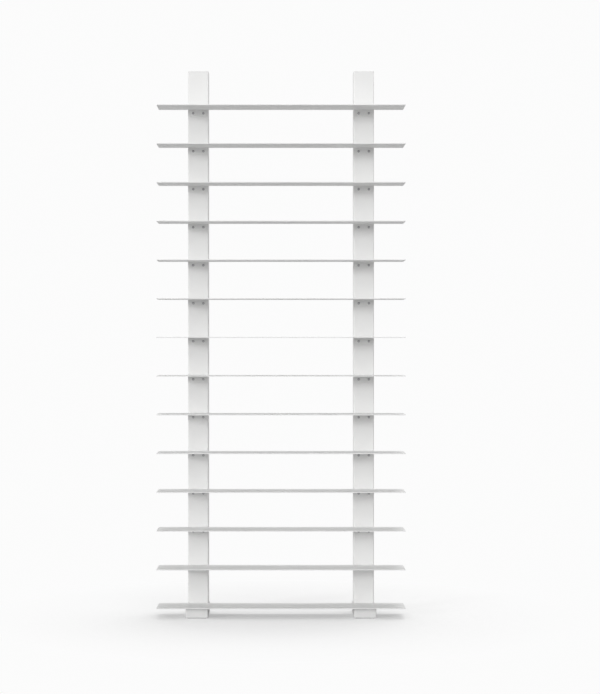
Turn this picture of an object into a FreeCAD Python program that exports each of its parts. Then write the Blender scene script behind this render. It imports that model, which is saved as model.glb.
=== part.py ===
import FreeCAD, Part
import os
import Sketcher

# Driving dimensions in millimetres, and one count
DIMENSIONS = {
    # Shelves
    "shelf_count": 14,
    "shelf_pitch": 140,
    "shelf_length": 900,
    "shelf_depth": 150,
    "shelf_sheet": 3,
    "shelf_clip": 2,
    "shelf_overhang": 145,
    # Tabs bent down from the back edge of each shelf
    "tab_height": 25,
    "tab_bend": 2,
    "tab_clip": 4,
    "relief_width": 3,
    "relief_margin": 2,
    # Posts
    "post_width": 75,
    "post_depth": 75,
    "post_wall": 2,
    "post_bend": 2,
    "post_rise": 138,
    # Post caps
    "cap_plate": 2,
    "cap_edge": 1,
    "cap_skirt": 12,
    "cap_wall": 2,
    "cap_fit": 0.3,
    # Screws that hold the shelves, and the plates they are threaded into
    "screw_thread": 5,
    "screw_length": 12,
    "screw_head": 9.5,
    "screw_head_height": 2.75,
    "plate_thickness": 4,
    "plate_height": 16,
    "plate_margin": 8,
    # Screws and square nuts in the sides of the posts
    "side_thread": 6,
    "side_length": 15,
    "side_head": 10.5,
    "side_head_height": 3.3,
    "nut_height": 5,
    "nut_wall": 1.7,
    # Play round every thread
    "thread_fit": 0.6,
    # Feet
    "foot_wall": 2.5,
    "foot_fit": 0.5,
    "foot_setback": 25,
    "foot_corner": 3,
    "foot_screw_rise": 16,
    "foot_screw_inset": 18,
    "tab_clear": 7.5,
    # Floor pads
    "pad_thickness": 2,
    "pad_depth": 24,
    "pad_inset": 5,
    "pad_clip": 3,
    # Wall brackets
    "bracket_sheet": 3,
    "bracket_bend": 2,
    "bracket_fit": 0.5,
    "bracket_depth": 40,
    "bracket_height": 90,
    "bracket_gap": 67.5,
    "wall_hole": 6.5,
    "wall_hole_inset": 15,
    # Room that every cut runs past its walls
    "overrun": 1,
}

# Flats that stand for a round screw head and for a hidden round, and flats of a square nut
HEAD_SIDES = 8
ROUND_SIDES = 6
NUT_SIDES = 4

# How near two places are to count as one
SAME_PLACE = 0.001

# Sizes and places worked out from the driving dimensions
POST_X = "(dim.shelf_length / 2 - dim.shelf_overhang)"
POST_FACE_Y = "(dim.shelf_depth - dim.post_depth) / 2"
POST_BASE_Z = "(dim.pad_thickness + dim.foot_wall)"
POST_HALF = "(dim.post_width / 2)"
POST_INNER = "(dim.post_width / 2 - dim.post_wall)"
SHELF_RUN = "(dim.shelf_pitch * (dim.shelf_count - 1))"
POST_LENGTH = f"(dim.tab_clear + dim.tab_height + {SHELF_RUN} + dim.shelf_sheet + dim.post_rise)"
SCREW_X = "(dim.post_width / 4)"
SCREW_DROP = "(dim.tab_height / 2)"
FIRST_SCREW_Z = f"(dim.tab_clear + dim.tab_height - {SCREW_DROP})"
RELIEF_DEPTH = "(dim.tab_bend + dim.shelf_sheet + dim.relief_margin)"
FOOT_HEIGHT = "(dim.foot_wall + dim.tab_clear + dim.tab_height)"
FOOT_HALF = "(dim.post_width / 2 + dim.foot_fit + dim.foot_wall)"
FOOT_REACH = "(dim.shelf_depth - dim.foot_setback)"
BRACKET_HALF = f"({POST_INNER} - dim.bracket_fit)"
BRACKET_INNER = f"({BRACKET_HALF} - dim.bracket_sheet)"
BRACKET_BASE_Z = f"({POST_LENGTH} - dim.cap_skirt - dim.bracket_gap - dim.bracket_height)"

# Side screws as places along the post's depth and height above the post's or bracket's lower end
FOOT_SCREWS = [
    ("dim.foot_screw_inset", "dim.foot_screw_rise"),
    ("(dim.post_depth - dim.foot_screw_inset)", "dim.foot_screw_rise"),
]
BRACKET_SCREW = (
    "(dim.post_depth - (dim.bracket_depth + dim.bracket_sheet) / 2)",
    "(dim.bracket_height / 2)",
)

doc = FreeCAD.newDocument("SpineBookshelf")
sheet = doc.addObject("Spreadsheet::Sheet", "dim")
for row, (alias, value) in enumerate(DIMENSIONS.items(), start=1):
    sheet.set(f"A{row}", alias)
    sheet.set(f"B{row}", str(value))
    sheet.setAlias(f"B{row}", alias)
doc.recompute()


def number(expression):
    """Value of an expression in the sheet's dimensions."""
    return float(sheet.evalExpression(expression))


def new_body(label, x, y, z):
    """Empty body whose place is bound to the sheet."""
    body = doc.addObject("PartDesign::Body", label)
    body.Label = label
    for axis, expression in zip("xyz", (x, y, z)):
        body.setExpression(f"Placement.Base.{axis}", expression)
    return body


def origin(body, role):
    """Origin plane or axis of a body."""
    return next(item for item in body.Origin.OriginFeatures if item.Role == role)


def new_sketch(body, name, role, lift):
    """Empty sketch on an origin plane, lifted along the plane's normal."""
    sketch = body.newObject("Sketcher::SketchObject", name)
    sketch.AttachmentSupport = [(origin(body, role), "")]
    sketch.MapMode = "FlatFace"
    sketch.setExpression("AttachmentOffset.Base.z", lift)
    return sketch


def hold_point(sketch, geometry, point, x, y):
    """Hold one point of a sketch at its place from the sketch's origin."""
    for kind, axis, expression in (("DistanceX", -2, x), ("DistanceY", -1, y)):
        if expression == "0":
            sketch.addConstraint(Sketcher.Constraint("PointOnObject", geometry, point, axis))
            continue
        datum = Sketcher.Constraint(kind, -1, 1, geometry, point, number(expression))
        index = sketch.addConstraint(datum)
        sketch.setExpression(f"Constraints[{index}]", expression)


def outline(body, name, role, *loops, lift="0"):
    """Sketch of closed loops of straight lines with every corner held."""
    sketch = new_sketch(body, name, role, lift)
    for points in loops:
        first = sketch.GeometryCount
        corners = [FreeCAD.Vector(number(x), number(y), 0) for x, y in points]
        for start, end in zip(corners, corners[1:] + corners[:1]):
            sketch.addGeometry(Part.LineSegment(start, end), False)
        for step, (x, y) in enumerate(points):
            line = first + step
            following = first + (step + 1) % len(points)
            sketch.addConstraint(Sketcher.Constraint("Coincident", line, 2, following, 1))
            hold_point(sketch, line, 1, x, y)
    return sketch


def circles(body, name, role, centres, diameter):
    """Sketch of equal circles with every centre held."""
    sketch = new_sketch(body, name, role, "0")
    for x, y in centres:
        circle = sketch.GeometryCount
        centre = FreeCAD.Vector(number(x), number(y), 0)
        shape = Part.Circle(centre, FreeCAD.Vector(0, 0, 1), number(diameter) / 2)
        sketch.addGeometry(shape, False)
        hold_point(sketch, circle, 3, x, y)
        size = sketch.addConstraint(Sketcher.Constraint("Diameter", circle, number(diameter)))
        sketch.setExpression(f"Constraints[{size}]", diameter)
    return sketch


def box(across, along):
    """Corners of a rectangle between two pairs of places."""
    (left, right), (low, high) = across, along
    return [(left, low), (right, low), (right, high), (left, high)]


def polygon(centre, sides, diameter):
    """Corners of a regular polygon; its diameter is across its flats."""
    x, y = centre
    radius = f"{diameter} / 2 / cos(180 deg / {sides})"
    turns = [(corner + 0.5) * 360 / sides for corner in range(sides)]
    return [(f"{x} + {radius} * cos({turn} deg)", f"{y} + {radius} * sin({turn} deg)") for turn in turns]


def pad(body, name, sketch, length, side="One side", reverse=False):
    """Solid pulled out of a sketch."""
    feature = body.newObject("PartDesign::Pad", name)
    feature.Profile = sketch
    feature.SideType = side
    feature.Reversed = reverse
    feature.setExpression("Length", length)
    return feature


def pocket(body, name, sketch, length, side="One side", reverse=False):
    """Cut pushed into the body from a sketch."""
    feature = body.newObject("PartDesign::Pocket", name)
    feature.Profile = sketch
    feature.SideType = side
    feature.Reversed = reverse
    feature.setExpression("Length", length)
    return feature


def copies(body, name, feature_type, originals):
    """Pattern of some features, or of the whole body so far when none are named."""
    body.Tip.recompute(True)
    feature = body.newObject(f"PartDesign::{feature_type}", name)
    feature.TransformMode = "Features" if originals else "Whole shape"
    feature.Originals = originals
    body.Tip = feature
    return feature


def row(body, name, originals, axis, count, length):
    """Copies along one axis, spread evenly over a length."""
    feature = copies(body, name, "LinearPattern", originals)
    feature.Direction = (origin(body, axis), [""])
    feature.Mode = "Extent"
    feature.setExpression("Length", length)
    feature.setExpression("Occurrences", count)
    return feature


def mirror(body, name, originals):
    """Copies on the other side of the body's middle plane."""
    feature = copies(body, name, "Mirrored", originals)
    feature.MirrorPlane = (origin(body, "YZ_Plane"), [""])
    return feature


def edges_at(shape, along, places):
    """Names of the straight edges along one axis whose middle lies at the given places."""
    names = []
    for index, edge in enumerate(shape.Edges, start=1):
        if edge.Curve.TypeId != "Part::GeomLine":
            continue
        run = edge.Vertexes[-1].Point - edge.Vertexes[0].Point
        if edge.Length - abs(getattr(run, along)) > SAME_PLACE:
            continue
        middle = edge.CenterOfMass
        if all(abs(getattr(middle, axis) - number(place)) < SAME_PLACE for axis, place in places):
            names.append(f"Edge{index}")
    return names


def dress(body, kind, name, size, along, *spots):
    """Fillet or Chamfer on the edges along one axis at each spot, given as axis and place."""
    base = body.Tip
    base.recompute(True)
    names = [edge for spot in spots for edge in edges_at(base.Shape, along, spot)]
    feature = body.newObject(f"PartDesign::{kind}", name)
    feature.Base = (base, names)
    feature.setExpression("Radius" if kind == "Fillet" else "Size", size)
    return feature


def inner_flat(radius):
    """Size of the chamfer whose flat touches the middle of a bend's inner arc."""
    return f"{radius} * (2 - sqrt(2))"


def thread_hole(thread):
    """Diameter of the hole or nut bore round a thread."""
    return f"(dim.{thread} + dim.thread_fit)"


def tab_screws(middle, height):
    """Centres of the two screws of a tab, about the tab's middle."""
    return [(f"{middle} {sign} {SCREW_X}", height) for sign in "-+"]


def side_holes(body, name, spots, half_width):
    """Cuts for side screws, right across the body."""
    loops = [polygon(spot, ROUND_SIDES, thread_hole("side_thread")) for spot in spots]
    sketch = outline(body, f"{name}_outline", "YZ_Plane", *loops)
    return pocket(body, name, sketch, f"2 * ({half_width} + dim.overrun)", side="Symmetric")


def make_shelf(index):
    """Flat sheet with two tabs bent down at the back; its underside is the body's XY plane."""
    rise = f"dim.pad_thickness + {FOOT_HEIGHT} + dim.shelf_pitch * {index}"
    body = new_body(f"shelf_{index + 1:02d}", "0", POST_FACE_Y, rise)
    end = "(dim.shelf_length / 2)"
    plate = box((f"-{end}", end), ("-dim.shelf_depth", "0"))
    pad(body, "plate", outline(body, "plate_outline", "XY_Plane", plate), "dim.shelf_sheet")

    # Slit on each side of the tab, so that only the tab bends
    slit_half = f"({POST_HALF} + dim.relief_width)"
    slit = box((f"{POST_X} - {slit_half}", f"{POST_X} + {slit_half}"), (f"-{RELIEF_DEPTH}", "dim.overrun"))
    relief_outline = outline(body, "relief_outline", "XY_Plane", slit)
    relief = pocket(body, "relief", relief_outline, "dim.shelf_sheet", reverse=True)

    # Tab as a square fold, which the fillets below turn into a bend
    fold = [
        (f"-{RELIEF_DEPTH}", "0"),
        ("-dim.shelf_sheet", "0"),
        ("-dim.shelf_sheet", "-dim.tab_height"),
        ("0", "-dim.tab_height"),
        ("0", "dim.shelf_sheet"),
        (f"-{RELIEF_DEPTH}", "dim.shelf_sheet"),
    ]
    tab_outline = outline(body, "tab_outline", "YZ_Plane", fold, lift=POST_X)
    tab = pad(body, "tab", tab_outline, "dim.post_width", side="Symmetric")
    centres = tab_screws(POST_X, f"-{SCREW_DROP}")
    loops = [polygon(centre, ROUND_SIDES, thread_hole("screw_thread")) for centre in centres]
    hole_outline = outline(body, "hole_outline", "XZ_Plane", *loops)
    holes = pocket(body, "holes", hole_outline, "2 * (dim.shelf_sheet + dim.overrun)", side="Symmetric")
    mirror(body, "other_tab", [relief, tab, holes])

    # Bends, each with one flat on its inside, and clipped corners
    dress(body, "Fillet", "outer_bends", "dim.tab_bend + dim.shelf_sheet", "x",
          [("y", "0"), ("z", "dim.shelf_sheet"), ("x", POST_X)],
          [("y", "0"), ("z", "dim.shelf_sheet"), ("x", f"-{POST_X}")])
    dress(body, "Chamfer", "inner_bends", inner_flat("dim.tab_bend"), "x",
          [("y", "-dim.shelf_sheet"), ("z", "0")])
    dress(body, "Chamfer", "tab_corners", "dim.tab_clip", "y", [("z", "-dim.tab_height")])
    dress(body, "Chamfer", "plate_corners", "dim.shelf_clip", "z", [("x", end)], [("x", f"-{end}")])
    return body


def make_post(side, x):
    """Folded channel, open to the wall; its front face is at y = 0 and its lower end at z = 0."""
    body = new_body(f"post_{side}", x, POST_FACE_Y, POST_BASE_Z)
    channel = [
        (f"-{POST_HALF}", "0"),
        (POST_HALF, "0"),
        (POST_HALF, "dim.post_depth"),
        (POST_INNER, "dim.post_depth"),
        (POST_INNER, "dim.post_wall"),
        (f"-{POST_INNER}", "dim.post_wall"),
        (f"-{POST_INNER}", "dim.post_depth"),
        (f"-{POST_HALF}", "dim.post_depth"),
    ]
    pad(body, "channel", outline(body, "channel_outline", "XY_Plane", channel), POST_LENGTH)
    dress(body, "Fillet", "outer_bends", "dim.post_bend + dim.post_wall", "z", [("y", "0")])
    dress(body, "Chamfer", "inner_bends", inner_flat("dim.post_bend"), "z", [("y", "dim.post_wall")])

    # Two screw holes behind every tab
    centres = tab_screws("0", FIRST_SCREW_Z)
    loops = [polygon(centre, ROUND_SIDES, thread_hole("screw_thread")) for centre in centres]
    hole_outline = outline(body, "hole_outline", "XZ_Plane", *loops)
    holes = pocket(body, "holes", hole_outline, "2 * (dim.post_wall + dim.overrun)", side="Symmetric")
    row(body, "all_holes", [holes], "Z_Axis", "dim.shelf_count", SHELF_RUN)

    # Holes through both flanges for the foot and the wall bracket
    depth, rise = BRACKET_SCREW
    spots = FOOT_SCREWS + [(depth, f"{BRACKET_BASE_Z} + {rise}")]
    side_holes(body, "side_holes", spots, POST_HALF)
    return body


def make_cap(side, x):
    """Lid on the post's upper end, with a skirt that drops inside the channel."""
    body = new_body(f"post_cap_{side}", x, POST_FACE_Y, f"{POST_BASE_Z} + {POST_LENGTH}")
    lid = box((f"-{POST_HALF}", POST_HALF), ("0", "dim.post_depth"))
    pad(body, "lid", outline(body, "lid_outline", "XY_Plane", lid), "dim.cap_plate")
    dress(body, "Fillet", "lid_corners", "dim.post_bend + dim.post_wall", "z", [("y", "0")])
    dress(body, "Chamfer", "lid_edge", "dim.cap_edge", "x", [("y", "0"), ("z", "dim.cap_plate")])

    # Skirt as a ring of wall, inside the channel on three sides
    half = f"({POST_INNER} - dim.cap_fit)"
    front = "(dim.post_wall + dim.cap_fit)"
    back = "(dim.post_depth - dim.post_wall)"
    outside = box((f"-{half}", half), (front, back))
    inside = box(
        (f"-{half} + dim.cap_wall", f"{half} - dim.cap_wall"),
        (f"{front} + dim.cap_wall", f"{back} - dim.cap_wall"),
    )
    ring = outline(body, "skirt_outline", "XY_Plane", outside, inside)
    pad(body, "skirt", ring, "dim.cap_skirt", reverse=True)
    dress(body, "Chamfer", "skirt_corners", "dim.post_bend", "z", [("y", front)])
    return body


def make_foot(side, x):
    """Open-topped shoe round the post's lower end, which carries the bottom shelf on its rim."""
    body = new_body(f"foot_{side}", x, POST_FACE_Y, "dim.pad_thickness")
    block = box((f"-{FOOT_HALF}", FOOT_HALF), (f"-{FOOT_REACH}", "dim.post_depth"))
    pad(body, "shoe", outline(body, "shoe_outline", "XY_Plane", block), FOOT_HEIGHT)
    inner = f"({FOOT_HALF} - dim.foot_wall)"
    room = box((f"-{inner}", inner), (f"-{FOOT_REACH} + dim.foot_wall", "dim.post_depth + dim.overrun"))
    hollow = outline(body, "hollow_outline", "XY_Plane", room, lift="dim.foot_wall")
    pocket(body, "hollow", hollow, FOOT_HEIGHT, reverse=True)
    dress(body, "Fillet", "front_corners", "dim.foot_corner", "z", [("y", f"-{FOOT_REACH}")])
    spots = [(depth, f"dim.foot_wall + {rise}") for depth, rise in FOOT_SCREWS]
    side_holes(body, "side_holes", spots, FOOT_HALF)
    return body


def make_floor_pads(side, x):
    """Two thin pads under a foot, one at each end."""
    body = new_body(f"floor_pads_{side}", x, POST_FACE_Y, "0")
    half = f"({FOOT_HALF} - dim.pad_inset)"
    front = f"(dim.pad_inset - {FOOT_REACH})"
    pad_box = box((f"-{half}", half), (front, f"{front} + dim.pad_depth"))
    front_pad = pad(body, "front_pad", outline(body, "pad_outline", "XY_Plane", pad_box), "dim.pad_thickness")
    run = f"{FOOT_REACH} + dim.post_depth - 2 * dim.pad_inset - dim.pad_depth"
    row(body, "both_pads", [front_pad], "Y_Axis", "2", run)
    dress(body, "Chamfer", "pad_corners", "dim.pad_clip", "z", [("x", half)], [("x", f"-{half}")])
    return body


def make_shelf_screws(side, x):
    """Two screws through every tab into the post."""
    body = new_body(f"shelf_screws_{side}", x, POST_FACE_Y, POST_BASE_Z)
    centres = tab_screws("0", FIRST_SCREW_Z)
    heads = [polygon(centre, HEAD_SIDES, "dim.screw_head") for centre in centres]
    shanks = [polygon(centre, ROUND_SIDES, "dim.screw_thread") for centre in centres]
    head_outline = outline(body, "head_outline", "XZ_Plane", *heads, lift="dim.shelf_sheet")
    pad(body, "heads", head_outline, "dim.screw_head_height")
    shank_outline = outline(body, "shank_outline", "XZ_Plane", *shanks, lift="dim.shelf_sheet")
    pad(body, "shanks", shank_outline, "dim.screw_length", reverse=True)
    row(body, "all_screws", [], "Z_Axis", "dim.shelf_count", SHELF_RUN)
    return body


def make_nut_plates(side, x):
    """Plates on the inside of the post's face, one behind every tab, with two threaded holes."""
    body = new_body(f"nut_plates_{side}", x, POST_FACE_Y, POST_BASE_Z)
    half = f"({SCREW_X} + dim.plate_margin)"
    low = f"({FIRST_SCREW_Z} - dim.plate_height / 2)"
    blank = box((f"-{half}", half), (low, f"{low} + dim.plate_height"))
    centres = tab_screws("0", FIRST_SCREW_Z)
    bores = [polygon(centre, ROUND_SIDES, thread_hole("screw_thread")) for centre in centres]
    plate_outline = outline(body, "plate_outline", "XZ_Plane", blank, *bores, lift="-dim.post_wall")
    pad(body, "plate", plate_outline, "dim.plate_thickness", reverse=True)
    row(body, "all_plates", [], "Z_Axis", "dim.shelf_count", SHELF_RUN)
    return body


def make_side_screws(label, x, z, spots, seat):
    """Screws from both sides, with their heads on a seat at that distance from the middle plane."""
    body = new_body(label, x, POST_FACE_Y, z)
    heads = [polygon(spot, HEAD_SIDES, "dim.side_head") for spot in spots]
    shanks = [polygon(spot, ROUND_SIDES, "dim.side_thread") for spot in spots]
    head_outline = outline(body, "head_outline", "YZ_Plane", *heads, lift=seat)
    pad(body, "heads", head_outline, "dim.side_head_height")
    shank_outline = outline(body, "shank_outline", "YZ_Plane", *shanks, lift=seat)
    pad(body, "shanks", shank_outline, "dim.side_length", reverse=True)
    mirror(body, "other_side", [])
    return body


def make_side_nuts(label, x, z, spots, seat):
    """Square nuts for the side screws, on the inner faces at that distance from the middle plane."""
    body = new_body(label, x, POST_FACE_Y, z)
    bore = thread_hole("side_thread")
    blanks = [polygon(spot, NUT_SIDES, f"({bore} + 2 * dim.nut_wall)") for spot in spots]
    bores = [polygon(spot, ROUND_SIDES, bore) for spot in spots]
    nut_outline = outline(body, "nut_outline", "YZ_Plane", *blanks, *bores, lift=seat)
    pad(body, "nuts", nut_outline, "dim.nut_height", reverse=True)
    mirror(body, "other_side", [])
    return body


def make_bracket(side, x):
    """Folded bracket inside the post's upper end, with two holes for wall screws in its back."""
    body = new_body(f"wall_bracket_{side}", x, POST_FACE_Y, f"{POST_BASE_Z} + {BRACKET_BASE_Z}")
    ear_front = "(dim.post_depth - dim.bracket_depth)"
    back_inner = "(dim.post_depth - dim.bracket_sheet)"
    fold = [
        (BRACKET_HALF, "dim.post_depth"),
        (f"-{BRACKET_HALF}", "dim.post_depth"),
        (f"-{BRACKET_HALF}", ear_front),
        (f"-{BRACKET_INNER}", ear_front),
        (f"-{BRACKET_INNER}", back_inner),
        (BRACKET_INNER, back_inner),
        (BRACKET_INNER, ear_front),
        (BRACKET_HALF, ear_front),
    ]
    pad(body, "fold", outline(body, "fold_outline", "XY_Plane", fold), "dim.bracket_height")
    outer_radius = "dim.bracket_bend + dim.bracket_sheet"
    dress(body, "Fillet", "outer_bends", outer_radius, "z", [("y", "dim.post_depth")])
    dress(body, "Chamfer", "inner_bends", inner_flat("dim.bracket_bend"), "z", [("y", back_inner)])
    centres = [("0", "dim.wall_hole_inset"), ("0", "dim.bracket_height - dim.wall_hole_inset")]
    wall_holes = circles(body, "wall_hole_outline", "XZ_Plane", centres, "dim.wall_hole")
    pocket(body, "wall_holes", wall_holes, "dim.post_depth + dim.overrun")
    side_holes(body, "ear_holes", [BRACKET_SCREW], BRACKET_HALF)
    return body


def make_side(side, x):
    """Everything that belongs to one post."""
    bracket_z = f"{POST_BASE_Z} + {BRACKET_BASE_Z}"
    return [
        make_post(side, x),
        make_cap(side, x),
        make_foot(side, x),
        make_floor_pads(side, x),
        make_shelf_screws(side, x),
        make_nut_plates(side, x),
        make_side_screws(f"foot_screws_{side}", x, POST_BASE_Z, FOOT_SCREWS, FOOT_HALF),
        make_side_nuts(f"foot_nuts_{side}", x, POST_BASE_Z, FOOT_SCREWS, POST_INNER),
        make_bracket(side, x),
        make_side_screws(f"bracket_screws_{side}", x, bracket_z, [BRACKET_SCREW], POST_HALF),
        make_side_nuts(f"bracket_nuts_{side}", x, bracket_z, [BRACKET_SCREW], BRACKET_INNER),
    ]


def check(bodies):
    """Stop if any feature failed or any piece is empty or not a valid solid."""
    failed = [item.Name for item in doc.Objects if {"Invalid", "Error"} & set(item.State)]
    if failed:
        raise RuntimeError(f"features failed: {failed}")
    for body in bodies:
        if body.Shape.isNull() or not body.Shape.isValid() or not body.Shape.Solids:
            raise RuntimeError(f"{body.Label} is not a valid solid")


pieces = [make_shelf(index) for index in range(int(sheet.shelf_count))]
for side_name, side_x in (("left", f"-{POST_X}"), ("right", POST_X)):
    pieces += make_side(side_name, side_x)
doc.recompute()
check(pieces)

os.makedirs("parts", exist_ok=True)
for piece in pieces:
    piece.Shape.exportStep(f"parts/{piece.Label}.step")
    print(piece.Label, len(piece.Shape.Solids), "solids", round(piece.Shape.Volume), "mm3")
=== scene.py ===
import math

import bmesh
import bpy
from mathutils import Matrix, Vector


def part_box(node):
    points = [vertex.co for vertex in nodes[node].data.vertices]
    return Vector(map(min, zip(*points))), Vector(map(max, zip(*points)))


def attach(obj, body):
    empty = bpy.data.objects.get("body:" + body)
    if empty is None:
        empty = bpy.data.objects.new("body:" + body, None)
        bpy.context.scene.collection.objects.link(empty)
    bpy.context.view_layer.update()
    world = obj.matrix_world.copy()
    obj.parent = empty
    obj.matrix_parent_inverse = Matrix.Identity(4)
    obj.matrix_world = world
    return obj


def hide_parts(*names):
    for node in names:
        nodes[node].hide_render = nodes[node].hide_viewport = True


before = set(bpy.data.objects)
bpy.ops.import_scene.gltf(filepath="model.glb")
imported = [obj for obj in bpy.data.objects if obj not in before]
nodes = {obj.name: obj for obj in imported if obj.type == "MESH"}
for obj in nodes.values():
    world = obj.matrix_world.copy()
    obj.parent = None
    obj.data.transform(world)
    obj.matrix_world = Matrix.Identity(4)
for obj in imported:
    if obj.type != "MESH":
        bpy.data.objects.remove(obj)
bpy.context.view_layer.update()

# Photograph: its size, the eye point's place in it and its focal length, in pixels
IMAGE_WIDTH = 600
IMAGE_HEIGHT = 694
EYE_PIXEL_X = 281.0
EYE_PIXEL_Y = 340.0
FOCAL_PIXELS = 1994.0

# Camera: its distance from the posts' faces and its height in metres, its sensor in millimetres
CAMERA_DISTANCE = 7.35
CAMERA_HEIGHT = 1.009
SENSOR = 36.0

# Lamps: degrees from the front towards the left and above the horizon, strength, softness in degrees
LAMPS = {
    "key": {"turn": 48.0, "rise": 8.0, "strength": 1.25, "softness": 12.0},
    "fill": {"turn": -15.0, "rise": 22.0, "strength": 0.6, "softness": 40.0},
    "top": {"turn": -150.0, "rise": 80.0, "strength": 0.9, "softness": 30.0},
}

# Floor in metres: half its width, and where it starts and ends to fade into the backdrop
FLOOR_HALF = 30.0
FADE_START = 0.42
FADE_END = 1.1

# Backdrop and floor as they are seen, and the backdrop's share in the floor near the object
BACKDROP = (0.97, 0.97, 0.97)
FLOOR_COLOUR = (1.0, 1.0, 1.0)
BACKDROP_SHARE = 0.35

# Light on the object from all round, and the floor's colour in the light that it throws back
AMBIENT = 0.52
AMBIENT_COLOUR = (1.0, 1.0, 1.0)
FLOOR_BOUNCE = (0.48, 0.48, 0.48)

# Button-head screws with hexagon sockets, in metres
SHELF_SCREW = {"thread": 0.005, "pitch": 0.0008, "head": 0.0095, "head_height": 0.00275, "key": 0.003}
SIDE_SCREW = {"thread": 0.006, "pitch": 0.001, "head": 0.0105, "head_height": 0.0033, "key": 0.004}

# Screw shanks: ridges and tip as shares of the thread's radius, threaded part as a share of the length
RIDGE_SHARE = 0.12
TIP_SHARE = 0.75
THREADED_SHARE = 0.6

# Screw heads: rim and socket as shares of the height, flat top of the radius, socket's lead of the key
RIM_SHARE = 0.15
SOCKET_SHARE = 0.6
FLAT_SHARE = 0.6
LEAD_SHARE = 0.08

# Round forms: play round a thread in its bore in metres, steps of a full turn and of a screw's dome
THREAD_PLAY = 0.0002
TURN_STEPS = 24
DOME_STEPS = 5

# Edges: their rounding by finish in metres, its steps, and the angle from which an edge is sharp
EDGES = {"white_coat": 0.0004, "white_plastic": 0.0004, "pad_rubber": 0.0005, "nut_steel": 0.0004}
EDGE_STEPS = 2
SHARP_ANGLE = math.radians(40.0)

# Meshes: points nearer than this in metres are one, and so are faces nearer than this in angle
MERGE_DISTANCE = 0.00001
FLAT_ANGLE = math.radians(1.0)

# Axes that bores follow
X_AXIS = 0
Y_AXIS = 1

# Colours, linear
COAT_WHITE = (0.84, 0.84, 0.835)
COAT_SHADE = (0.82, 0.82, 0.815)
COAT_WORN = (0.62, 0.62, 0.62)
COAT_RUBBED = (0.76, 0.76, 0.755)
PLASTIC_WHITE = (0.83, 0.83, 0.82)
PLASTIC_SHADE = (0.80, 0.80, 0.79)
STEEL = (0.45, 0.45, 0.46)
STEEL_SHADE = (0.36, 0.36, 0.37)
ZINC = (0.54, 0.54, 0.55)
ZINC_SHADE = (0.46, 0.46, 0.47)
RUBBER = (0.35, 0.35, 0.35)
RUBBER_SHADE = (0.30, 0.30, 0.30)

# Patterns: features a metre, finer layers, the span of the noise that counts and what it becomes
SHARE = (0.0, 1.0)
MIDDLE = (0.3, 0.7)
COAT_CLOUDS = {"scale": 9.0, "layers": 4.0, "span": (0.35, 0.65), "result": SHARE}
COAT_PATCHES = {"scale": 90.0, "layers": 2.0, "span": (0.45, 0.7), "result": (0.05, 0.5)}
COAT_SCUFFS = {"scale": (1000.0, 16.0, 1.0), "layers": 3.0, "span": (0.58, 0.76), "result": (0.0, 0.55)}
COAT_ROUGHNESS = {"scale": 40.0, "layers": 3.0, "span": MIDDLE, "result": (0.54, 0.62)}
PLASTIC_CLOUDS = {"scale": 25.0, "layers": 3.0, "span": MIDDLE, "result": SHARE}
PLASTIC_ROUGHNESS = {"scale": 300.0, "layers": 2.0, "span": MIDDLE, "result": (0.42, 0.55)}
STEEL_CLOUDS = {"scale": 400.0, "layers": 3.0, "span": MIDDLE, "result": SHARE}
STEEL_ROUGHNESS = {"scale": 900.0, "layers": 2.0, "span": MIDDLE, "result": (0.28, 0.42)}
RUBBER_CLOUDS = {"scale": 120.0, "layers": 3.0, "span": MIDDLE, "result": SHARE}
RUBBER_ROUGHNESS = {"scale": 500.0, "layers": 2.0, "span": MIDDLE, "result": (0.7, 0.9)}

# Zinc crystals: their number a metre, and the roughness from the brightest to the dullest
ZINC_CRYSTALS = 420.0
ZINC_ROUGHNESS = (0.38, 0.46)

# Relief: features a metre, finer layers, strength and height in metres
COAT_PEEL = {"scale": 800.0, "layers": 3.0, "strength": 0.6, "height": 0.0004}
PLASTIC_GRAIN = {"scale": 1800.0, "layers": 2.0, "strength": 0.2, "height": 0.0002}
STEEL_GRAIN = {"scale": 2500.0, "layers": 2.0, "strength": 0.1, "height": 0.0001}
ZINC_GRAIN = {"scale": 500.0, "layers": 3.0, "strength": 0.08, "height": 0.0002}
RUBBER_GRAIN = {"scale": 1500.0, "layers": 2.0, "strength": 0.25, "height": 0.0002}

# Worn edges: their reach in metres, samples, and the likeness of a face to its rounded form, flat and sharp
WEAR_REACH = 0.0006
WEAR_SAMPLES = 4
WEAR_LIKENESS = (1.0, 0.8)

# Faces that look up: the upward part of their direction, where rubbing starts and where it is full
UPWARD = (0.9, 0.99)

# Places of a Mix node's sockets for colours
MIX_SHARE = 0
MIX_FIRST = 6
MIX_SECOND = 7
MIX_RESULT = 2


def new_material(name):
    """Node material with its tree and its shader."""
    material = bpy.data.materials.new(name)
    material.use_nodes = True
    return material, material.node_tree, material.node_tree.nodes["Principled BSDF"]


def add(tree, kind, inputs=None, **settings):
    """Node of a kind with its settings and the values of its inputs."""
    node = tree.nodes.new(f"ShaderNode{kind}")
    for name, value in settings.items():
        setattr(node, name, value)
    for name, value in (inputs or {}).items():
        node.inputs[name].default_value = value
    return node


def noise(tree, scale, layers):
    """Noise over the object; its features a metre are one number or one for each axis."""
    scales = scale if isinstance(scale, tuple) else (scale, scale, scale)
    place = add(tree, "TexCoord")
    stretch = add(tree, "Mapping", {"Scale": scales})
    texture = add(tree, "TexNoise", {"Scale": 1.0, "Detail": layers})
    tree.links.new(place.outputs["Object"], stretch.inputs["Vector"])
    tree.links.new(stretch.outputs["Vector"], texture.inputs["Vector"])
    return texture.outputs["Fac"]


def remap(tree, value, span, result):
    """Value moved from one range to another and held inside it."""
    limits = {"From Min": span[0], "From Max": span[1], "To Min": result[0], "To Max": result[1]}
    node = add(tree, "MapRange", limits)
    tree.links.new(value, node.inputs["Value"])
    return node.outputs["Result"]


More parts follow.
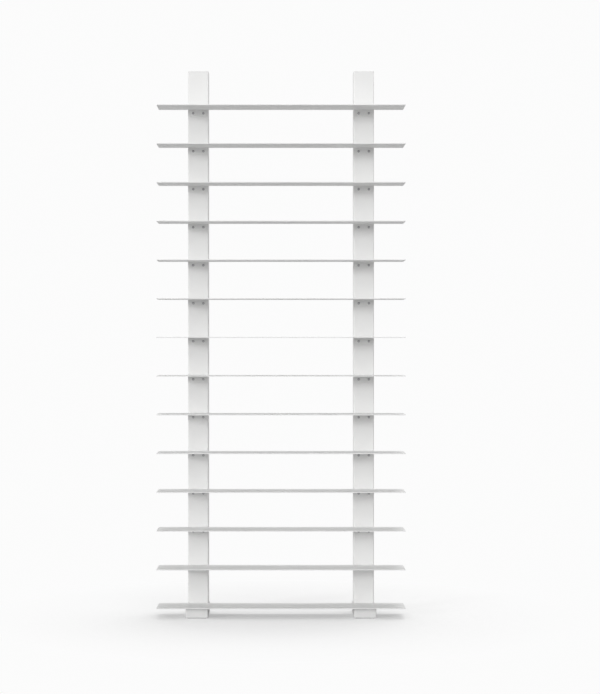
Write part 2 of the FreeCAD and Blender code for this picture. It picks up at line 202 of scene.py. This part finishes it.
def pattern(tree, scale, layers, span, result):
    """Noise over the object, as values in a range."""
    return remap(tree, noise(tree, scale, layers), span, result)


def combine(tree, operation, first, second):
    """Result of a Math node on two values."""
    node = add(tree, "Math", operation=operation)
    tree.links.new(first, node.inputs[0])
    tree.links.new(second, node.inputs[1])
    return node.outputs["Value"]


def blend_colours(tree, share, first, second):
    """Colour between two colours, each a colour or another node's output."""
    node = add(tree, "Mix", data_type="RGBA")
    tree.links.new(share, node.inputs[MIX_SHARE])
    for place, colour in ((MIX_FIRST, first), (MIX_SECOND, second)):
        if isinstance(colour, tuple):
            node.inputs[place].default_value = (*colour, 1.0)
        else:
            tree.links.new(colour, node.inputs[place])
    return node.outputs[MIX_RESULT]


def add_relief(tree, shader, scale, layers, strength, height):
    """Fine relief on a shader."""
    bump = add(tree, "Bump", {"Strength": strength, "Distance": height})
    tree.links.new(noise(tree, scale, layers), bump.inputs["Height"])
    tree.links.new(bump.outputs["Normal"], shader.inputs["Normal"])


def edge_share(tree):
    """Value that rises from 0 on flat faces to 1 along sharp edges."""
    geometry = add(tree, "NewGeometry")
    rounded = add(tree, "Bevel", {"Radius": WEAR_REACH}, samples=WEAR_SAMPLES)
    likeness = add(tree, "VectorMath", operation="DOT_PRODUCT")
    tree.links.new(geometry.outputs["Normal"], likeness.inputs[0])
    tree.links.new(rounded.outputs["Normal"], likeness.inputs[1])
    return remap(tree, likeness.outputs["Value"], WEAR_LIKENESS, SHARE)


def upward_share(tree):
    """Value that is 1 on faces that look up and 0 on the others."""
    geometry = add(tree, "NewGeometry")
    parts = add(tree, "SeparateXYZ")
    tree.links.new(geometry.outputs["True Normal"], parts.inputs["Vector"])
    return remap(tree, parts.outputs["Z"], UPWARD, SHARE)


def powder_coat():
    """White powder coat: fine orange peel, thinner on edges, faintly rubbed on the shelf tops."""
    material, tree, shader = new_material("powder_coat")
    colour = blend_colours(tree, pattern(tree, **COAT_CLOUDS), COAT_WHITE, COAT_SHADE)
    worn = combine(tree, "MULTIPLY", edge_share(tree), pattern(tree, **COAT_PATCHES))
    colour = blend_colours(tree, worn, colour, COAT_WORN)
    rubbed = combine(tree, "MULTIPLY", upward_share(tree), pattern(tree, **COAT_SCUFFS))
    colour = blend_colours(tree, rubbed, colour, COAT_RUBBED)
    tree.links.new(colour, shader.inputs["Base Color"])
    tree.links.new(pattern(tree, **COAT_ROUGHNESS), shader.inputs["Roughness"])
    add_relief(tree, shader, **COAT_PEEL)
    return material


def moulded_plastic():
    """White plastic with a fine eroded grain."""
    material, tree, shader = new_material("moulded_plastic")
    colour = blend_colours(tree, pattern(tree, **PLASTIC_CLOUDS), PLASTIC_WHITE, PLASTIC_SHADE)
    tree.links.new(colour, shader.inputs["Base Color"])
    tree.links.new(pattern(tree, **PLASTIC_ROUGHNESS), shader.inputs["Roughness"])
    add_relief(tree, shader, **PLASTIC_GRAIN)
    return material


def screw_steel():
    """Plain steel with a slightly dulled, uneven sheen."""
    material, tree, shader = new_material("screw_steel")
    shader.inputs["Metallic"].default_value = 1.0
    colour = blend_colours(tree, pattern(tree, **STEEL_CLOUDS), STEEL, STEEL_SHADE)
    tree.links.new(colour, shader.inputs["Base Color"])
    tree.links.new(pattern(tree, **STEEL_ROUGHNESS), shader.inputs["Roughness"])
    add_relief(tree, shader, **STEEL_GRAIN)
    return material


def zinc_plate():
    """Zinc-plated steel with a faint crystal pattern."""
    material, tree, shader = new_material("zinc_plate")
    shader.inputs["Metallic"].default_value = 1.0
    place = add(tree, "TexCoord")
    crystals = add(tree, "TexVoronoi", {"Scale": ZINC_CRYSTALS})
    grey = add(tree, "RGBToBW")
    tree.links.new(place.outputs["Object"], crystals.inputs["Vector"])
    tree.links.new(crystals.outputs["Color"], grey.inputs["Color"])
    dullness = grey.outputs["Val"]
    tree.links.new(blend_colours(tree, dullness, ZINC, ZINC_SHADE), shader.inputs["Base Color"])
    tree.links.new(remap(tree, dullness, SHARE, ZINC_ROUGHNESS), shader.inputs["Roughness"])
    add_relief(tree, shader, **ZINC_GRAIN)
    return material


def pad_rubber():
    """Grey rubber with a fine matt grain."""
    material, tree, shader = new_material("pad_rubber")
    colour = blend_colours(tree, pattern(tree, **RUBBER_CLOUDS), RUBBER, RUBBER_SHADE)
    tree.links.new(colour, shader.inputs["Base Color"])
    tree.links.new(pattern(tree, **RUBBER_ROUGHNESS), shader.inputs["Roughness"])
    add_relief(tree, shader, **RUBBER_GRAIN)
    return material


def round_edges(piece, width):
    """Bevel the sharp edges of a piece."""
    bevel = piece.modifiers.new("edges", "BEVEL")
    bevel.limit_method = "ANGLE"
    bevel.angle_limit = SHARP_ANGLE
    bevel.width = width
    bevel.segments = EDGE_STEPS
    bevel.harden_normals = True


def dress(node, slot, finishes):
    """Give a CAD node a slot's finish and rounded edges."""
    piece = nodes[node]
    for holder in piece.material_slots:
        holder.material = finishes[slot]
    weld = piece.modifiers.new("weld", "WELD")
    weld.merge_threshold = MERGE_DISTANCE
    dissolve = piece.modifiers.new("dissolve", "DECIMATE")
    dissolve.decimate_type = "DISSOLVE"
    dissolve.angle_limit = FLAT_ANGLE
    round_edges(piece, EDGES[slot])


def solid_boxes(node):
    """Lowest and highest corner of each separate solid of a CAD node."""
    mesh = nodes[node].data
    keys = [tuple(round(value / MERGE_DISTANCE) for value in vertex.co) for vertex in mesh.vertices]
    group = {key: key for key in keys}

    def leader(key):
        while group[key] != key:
            key = group[key]
        return key

    for edge in mesh.edges:
        first, second = (leader(keys[index]) for index in edge.vertices)
        group[first] = second
    solids = {}
    for key, vertex in zip(keys, mesh.vertices):
        solids.setdefault(leader(key), []).append(vertex.co)
    return [
        (Vector(map(min, zip(*points))), Vector(map(max, zip(*points))))
        for points in solids.values()
    ]


def ring(radius, height):
    """Ring of points round the axis; the radius is a number or a function of the turn."""
    points = []
    for step in range(TURN_STEPS):
        turn = step * math.tau / TURN_STEPS
        reach = radius(turn) if callable(radius) else radius
        points.append(Vector((reach * math.cos(turn), reach * math.sin(turn), height)))
    return points


def hexagon(flats):
    """Radius of a hexagon as a function of the turn."""
    sixth = math.tau / 6
    return lambda turn: flats / 2 / math.cos(turn % sixth - sixth / 2)


def skin(rings):
    """Points and faces of a closed skin over a row of rings."""
    points = [point for each in rings for point in each]
    faces = []
    for row in range(len(rings) - 1):
        low, high = row * TURN_STEPS, (row + 1) * TURN_STEPS
        for step in range(TURN_STEPS):
            following = (step + 1) % TURN_STEPS
            faces.append((low + step, low + following, high + following, high + step))
    last = (len(rings) - 1) * TURN_STEPS
    faces.append(tuple(reversed(range(TURN_STEPS))))
    faces.append(tuple(last + step for step in range(TURN_STEPS)))
    return points, faces


def shank_rings(size, length):
    """Rings of a threaded shank, from its tip up to the seat of its head at zero."""
    crest = size["thread"] / 2
    root = crest * (1 - RIDGE_SHARE)
    pitch = size["pitch"]
    rings = [ring(crest * TIP_SHARE, -length)]
    for ridge in range(int(length * THREADED_SHARE / pitch)):
        low = -length + (ridge + 0.5) * pitch
        rings += [ring(root, low), ring(crest, low + pitch / 2)]
    rings.append(ring(crest, 0))
    return rings


def head_rings(size):
    """Rings of a domed head, from its seat at zero over its top and down into its socket."""
    head = size["head"] / 2
    height = size["head_height"]
    rim = height * RIM_SHARE
    flat = head * FLAT_SHARE
    rings = [ring(head, 0), ring(head, rim)]
    for step in range(1, DOME_STEPS + 1):
        turn = step / DOME_STEPS * math.pi / 2
        rings.append(ring(flat + (head - flat) * math.cos(turn), rim + (height - rim) * math.sin(turn)))
    key = size["key"]
    lead = key * LEAD_SHARE
    bottom = height * (1 - SOCKET_SHARE)
    rings.append(ring(hexagon(key + 2 * lead), height))
    rings.append(ring(hexagon(key), height - lead))
    rings.append(ring(hexagon(key), bottom))
    rings.append(ring(lead, bottom - lead))
    return rings


def show(node, mesh, slot, finishes):
    """New piece that rides, replaces a CAD node and takes a slot's finish."""
    mesh.materials.append(finishes[slot])
    mesh.shade_smooth()
    mesh.set_sharp_from_angle(angle=SHARP_ANGLE)
    piece = bpy.data.objects.new(f"{node}_detailed", mesh)
    bpy.context.collection.objects.link(piece)
    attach(piece, "root")
    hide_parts(node)
    return piece


def make_screws(node, size, outward, finishes):
    """Detailed screws in place of a CAD group; outward gives a solid's head direction."""
    points, faces = [], []
    for low, high in solid_boxes(node):
        direction = outward(low, high)
        turn = Vector((0, 0, 1)).rotation_difference(direction)
        span = abs((high - low).dot(direction))
        seat = (low + high) / 2 + direction * (span / 2 - size["head_height"])
        rings = shank_rings(size, span - size["head_height"]) + head_rings(size)
        screw_points, screw_faces = skin(rings)
        first = len(points)
        points += [turn @ point + seat for point in screw_points]
        faces += [tuple(first + index for index in face) for face in screw_faces]
    mesh = bpy.data.meshes.new(node)
    mesh.from_pydata(points, [], faces)
    show(node, mesh, "screw_steel", finishes)


def other_axes(axis):
    """The two axes across an axis."""
    return [each for each in range(3) if each != axis]


def bores_in(low, high, axis, screws):
    """Places, across an axis, of the screws that pass through a box along it."""
    across, along = other_axes(axis)
    bores = []
    for screw_low, screw_high in screws:
        middle = (screw_low + screw_high) / 2
        inside = all(low[each] < middle[each] < high[each] for each in (across, along))
        if inside and screw_low[axis] < high[axis] and screw_high[axis] > low[axis]:
            bores.append((middle[across], middle[along]))
    return bores


def pierced_cell(low, high, centre, radius):
    """Pairs of flat points round a bore in a rectangle: one on the bore, one on the rectangle."""
    corners = [(across, along) for across in (low[0], high[0]) for along in (low[1], high[1])]
    turns = {step * math.tau / TURN_STEPS for step in range(TURN_STEPS)}
    turns |= {math.atan2(along - centre[1], across - centre[0]) % math.tau for across, along in corners}
    pairs = []
    for turn in sorted(turns):
        aim = (math.cos(turn), math.sin(turn))
        reach = min(
            ((high[axis] if aim[axis] > 0 else low[axis]) - centre[axis]) / aim[axis]
            for axis in (0, 1)
            if aim[axis] != 0
        )
        pair = [(centre[0] + span * aim[0], centre[1] + span * aim[1]) for span in (radius, reach)]
        pairs.append(pair)
    return pairs


def add_pierced_plate(plate, low, high, axis, bores, radius):
    """Flat plate between two corners with round bores along an axis, side by side, in a bmesh."""
    across, along = other_axes(axis)

    def corner(place):
        point = Vector(low)
        point[across], point[along] = place
        return plate.verts.new(point)

    pitch = (high[across] - low[across]) / len(bores)
    faces = []
    for index, bore in enumerate(sorted(bores)):
        left = low[across] + pitch * index
        cell = pierced_cell((left, low[along]), (left + pitch, high[along]), bore, radius)
        pairs = [[corner(place) for place in pair] for pair in cell]
        for (inner, outer), (next_inner, next_outer) in zip(pairs, pairs[1:] + pairs[:1]):
            faces.append(plate.faces.new((inner, outer, next_outer, next_inner)))
    corners = list(dict.fromkeys(vert for face in faces for vert in face.verts))
    bmesh.ops.remove_doubles(plate, verts=corners, dist=MERGE_DISTANCE)
    rim = [edge for edge in plate.edges if edge.is_boundary]
    thickness = Vector((0, 0, 0))
    thickness[axis] = high[axis] - low[axis]
    twins = {vert: plate.verts.new(vert.co + thickness) for vert in corners if vert.is_valid}
    for face in faces:
        if face.is_valid:
            plate.faces.new([twins[vert] for vert in face.verts])
    for edge in rim:
        first, second = edge.verts
        plate.faces.new((first, second, twins[second], twins[first]))


def make_nuts(node, axis, screws, size, finishes):
    """Plates or nuts with round bores in place of a CAD group, bored where the screws pass."""
    plate = bmesh.new()
    screw_boxes = solid_boxes(screws)
    radius = size["thread"] / 2 + THREAD_PLAY
    for low, high in solid_boxes(node):
        add_pierced_plate(plate, low, high, axis, bores_in(low, high, axis, screw_boxes), radius)
    bmesh.ops.recalc_face_normals(plate, faces=plate.faces)
    mesh = bpy.data.meshes.new(node)
    plate.to_mesh(mesh)
    plate.free()
    piece = show(node, mesh, "nut_steel", finishes)
    round_edges(piece, EDGES["nut_steel"])


def towards_front(low, high):
    """Shelf screws have their heads to the front."""
    return Vector((0, -1, 0))


def away_from(middle):
    """Side screws have their heads away from the post's middle."""
    return lambda low, high: Vector((1 if low.x + high.x > 2 * middle else -1, 0, 0))


def dress_post(side, finishes):
    """Finish of everything that belongs to one post, with detailed screws, plates and nuts."""
    for kind in ("post", "foot", "wall_bracket"):
        dress(f"{kind}_{side}", "white_coat", finishes)
    dress(f"post_cap_{side}", "white_plastic", finishes)
    dress(f"floor_pads_{side}", "pad_rubber", finishes)
    low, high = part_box(f"post_{side}")
    sideways = away_from((low.x + high.x) / 2)
    make_screws(f"shelf_screws_{side}", SHELF_SCREW, towards_front, finishes)
    make_nuts(f"nut_plates_{side}", Y_AXIS, f"shelf_screws_{side}", SHELF_SCREW, finishes)
    for kind in ("foot", "bracket"):
        make_screws(f"{kind}_screws_{side}", SIDE_SCREW, sideways, finishes)
        make_nuts(f"{kind}_nuts_{side}", X_AXIS, f"{kind}_screws_{side}", SIDE_SCREW, finishes)


def seen_share(tree):
    """1 where a light path shows a surface itself, seen, mirrored or looked through, and else 0."""
    path = add(tree, "LightPath")
    seen = path.outputs["Is Camera Ray"]
    for name in ("Is Glossy Ray", "Is Transmission Ray"):
        seen = combine(tree, "MAXIMUM", seen, path.outputs[name])
    return seen


def mix_shaders(tree, share, first, second):
    """Two shaders in shares."""
    mix = add(tree, "MixShader")
    tree.links.new(share, mix.inputs["Fac"])
    tree.links.new(first, mix.inputs[1])
    tree.links.new(second, mix.inputs[2])
    return mix.outputs["Shader"]


def make_world():
    """Even soft light from all round, behind a pale backdrop."""
    world = bpy.data.worlds.new("studio")
    bpy.context.scene.world = world
    world.use_nodes = True
    tree = world.node_tree
    light = tree.nodes["Background"]
    light.inputs["Color"].default_value = (*AMBIENT_COLOUR, 1.0)
    light.inputs["Strength"].default_value = AMBIENT
    backdrop = add(tree, "Background", {"Color": (*BACKDROP, 1.0), "Strength": 1.0})
    shaders = (light.outputs["Background"], backdrop.outputs["Background"])
    mixed = mix_shaders(tree, seen_share(tree), *shaders)
    tree.links.new(mixed, tree.nodes["World Output"].inputs["Surface"])


def floor_finish():
    """Pale matt floor that fades into the backdrop away from the object."""
    material, tree, shader = new_material("floor")
    tree.nodes.remove(shader)
    bounce = add(tree, "BsdfDiffuse", {"Color": (*FLOOR_BOUNCE, 1.0)})
    plain = add(tree, "BsdfDiffuse", {"Color": (*FLOOR_COLOUR, 1.0)})
    glow = add(tree, "Emission", {"Color": (*BACKDROP, 1.0), "Strength": 1.0})
    place = add(tree, "TexCoord")
    distance = add(tree, "VectorMath", operation="LENGTH")
    tree.links.new(place.outputs["Object"], distance.inputs[0])
    fade = remap(tree, distance.outputs["Value"], (FADE_START, FADE_END), (BACKDROP_SHARE, 1.0))
    seen = mix_shaders(tree, fade, plain.outputs["BSDF"], glow.outputs["Emission"])
    mixed = mix_shaders(tree, seen_share(tree), bounce.outputs["BSDF"], seen)
    tree.links.new(mixed, tree.nodes["Material Output"].inputs["Surface"])
    return material


def make_floor():
    """Flat floor under the object, which keeps its shadow."""
    half = FLOOR_HALF
    mesh = bpy.data.meshes.new("floor")
    corners = [(-half, -half, 0), (half, -half, 0), (half, half, 0), (-half, half, 0)]
    mesh.from_pydata(corners, [], [(0, 1, 2, 3)])
    mesh.materials.append(floor_finish())
    floor = bpy.data.objects.new("floor", mesh)
    bpy.context.collection.objects.link(floor)


def make_lamp(name, turn, rise, strength, softness):
    """Soft far lamp, placed by degrees from the front towards the left and above the horizon."""
    lamp = bpy.data.lights.new(name, "SUN")
    lamp.energy = strength
    lamp.angle = math.radians(softness)
    holder = bpy.data.objects.new(name, lamp)
    turn, rise = math.radians(turn), math.radians(rise)
    flat = math.cos(rise)
    shine = Vector((flat * math.sin(turn), flat * math.cos(turn), -math.sin(rise)))
    holder.rotation_euler = shine.to_track_quat("-Z", "Y").to_euler()
    bpy.context.collection.objects.link(holder)


def make_camera():
    """Camera that looks straight at the posts' faces, as in the photograph."""
    camera = bpy.data.cameras.new("camera")
    camera.sensor_fit = "VERTICAL"
    camera.sensor_height = SENSOR
    camera.lens = SENSOR * FOCAL_PIXELS / IMAGE_HEIGHT
    camera.shift_x = (IMAGE_WIDTH / 2 - EYE_PIXEL_X) / IMAGE_HEIGHT
    camera.shift_y = (EYE_PIXEL_Y - IMAGE_HEIGHT / 2) / IMAGE_HEIGHT
    holder = bpy.data.objects.new("camera", camera)
    post_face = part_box("post_left")[0].y
    holder.location = (0, post_face - CAMERA_DISTANCE, CAMERA_HEIGHT)
    holder.rotation_euler = (math.pi / 2, 0, 0)
    bpy.context.collection.objects.link(holder)
    bpy.context.scene.camera = holder


slot_finishes = {
    "white_coat": powder_coat(),
    "white_plastic": moulded_plastic(),
    "pad_rubber": pad_rubber(),
    "screw_steel": screw_steel(),
    "nut_steel": zinc_plate(),
}
for shelf in sorted(node for node in nodes if node.startswith("shelf_") and node[-1].isdigit()):
    dress(shelf, "white_coat", slot_finishes)
for post_side in ("left", "right"):
    dress_post(post_side, slot_finishes)
make_world()
make_floor()
for lamp_name, setting in LAMPS.items():
    make_lamp(lamp_name, **setting)
make_camera()
bpy.context.scene.view_settings.view_transform = "Standard"
